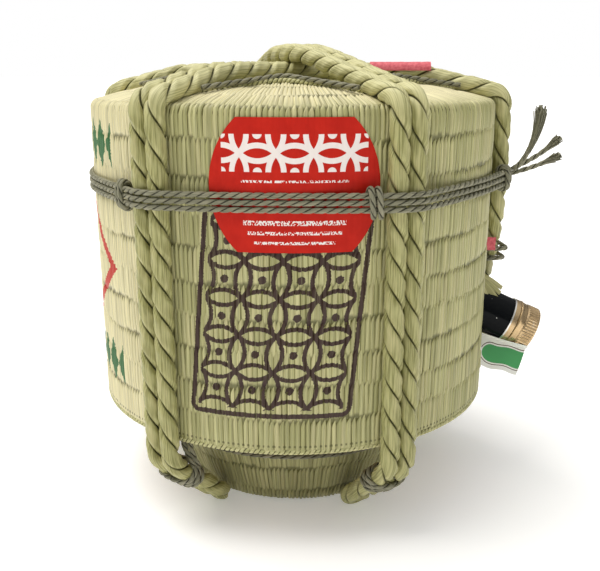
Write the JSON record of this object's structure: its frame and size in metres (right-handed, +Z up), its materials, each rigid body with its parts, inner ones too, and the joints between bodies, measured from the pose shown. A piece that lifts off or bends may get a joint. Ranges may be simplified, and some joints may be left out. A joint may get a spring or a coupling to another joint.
{
  "type": "straw-wrapped sake barrel",
  "caption": "Small sake barrel wrapped in woven rush matting and lashed with paired straw ropes, with a glass neck and screw cap low on its side.",
  "frame": {"origin": "centre of the base, on the floor", "axes": "+Z up along the barrel's axis, +Y towards the neck with the screw cap, -Y towards the printed face"},
  "size_m": [0.2423, 0.2809, 0.2535],
  "materials": {
    "cedar": "planed cedar",
    "bamboo": "split bamboo",
    "loose_straw": "loose straw",
    "rush_mat": "woven dried rush",
    "straw_rope": "two-ply rice straw rope",
    "twisted_cord": "twisted grey-green cord",
    "dark_glass": "near-black bottle glass",
    "bronze_cap": "satin bronze lacquer",
    "liner_plastic": "soft white liner",
    "seal_paper": "white paper with a green panel",
    "red_paper": "red printed paper",
    "pink_paper": "thin pink paper"
  },
  "bodies": {
    "cask": {"stave_01": "cedar", "stave_02": "cedar", "stave_03": "cedar", "stave_04": "cedar", "stave_05": "cedar", "stave_06": "cedar", "stave_07": "cedar", "stave_08": "cedar", "stave_09": "cedar", "stave_10": "cedar", "stave_11": "cedar", "stave_12": "cedar", "tub_floor": "cedar", "tub_lid": "cedar", "foot_ring": "cedar", "foot_board": "cedar", "lower_hoop": "bamboo", "middle_hoop": "bamboo", "upper_hoop": "bamboo", "keg_packing": "loose_straw", "keg_pad": "loose_straw", "top_pad": "loose_straw", "side_mat": "rush_mat", "top_mat": "rush_mat", "foot_mat": "rush_mat", "rope_left": "straw_rope", "rope_right": "straw_rope", "rope_back": "straw_rope", "rope_front": "straw_rope", "rope_binding_1": "twisted_cord", "rope_binding_2": "twisted_cord", "rope_binding_3": "twisted_cord", "rope_binding_4": "twisted_cord", "rope_binding_5": "twisted_cord", "rope_binding_6": "twisted_cord", "waist_hitch_1": "twisted_cord", "waist_hitch_2": "twisted_cord", "waist_hitch_3": "twisted_cord", "waist_hitch_4": "twisted_cord", "waist_hitch_5": "twisted_cord", "waist_hitch_6": "twisted_cord", "waist_cord_lower": "twisted_cord", "waist_cord_middle": "twisted_cord", "waist_cord_upper": "twisted_cord", "foot_cord": "twisted_cord", "top_lacing": "twisted_cord", "seam_tie": "twisted_cord", "cord_tail_1": "twisted_cord", "cord_tail_2": "twisted_cord", "cord_tail_3": "twisted_cord", "keg": "dark_glass", "tamper_band": "bronze_cap", "seal_strip_neck": "seal_paper", "paper_label": "red_paper", "paper_tags": "pink_paper"},
    "cap_lift_body": {"cap_liner": "liner_plastic"},
    "cap": {"cap_shell": "bronze_cap", "seal_strip_cap": "seal_paper"}
  },
  "joints": [
    {"name": "cap_lift", "type": "slide", "parent": "cask", "child": "cap_lift_body", "axis": [0, 0.9135, -0.4067], "range_m": [0, 0.00451]},
    {"name": "cap_turn", "type": "hinge", "parent": "cap_lift_body", "child": "cap", "pos_m": [0, 0.115, 0.0992], "axis": [0, 0.9135, -0.4067], "range_deg": [0, 540]}
  ],
  "couplings": [
    {"joint": "cap_lift", "follows": "cap_turn", "m_per_rad": 0.00047746}
  ]
}
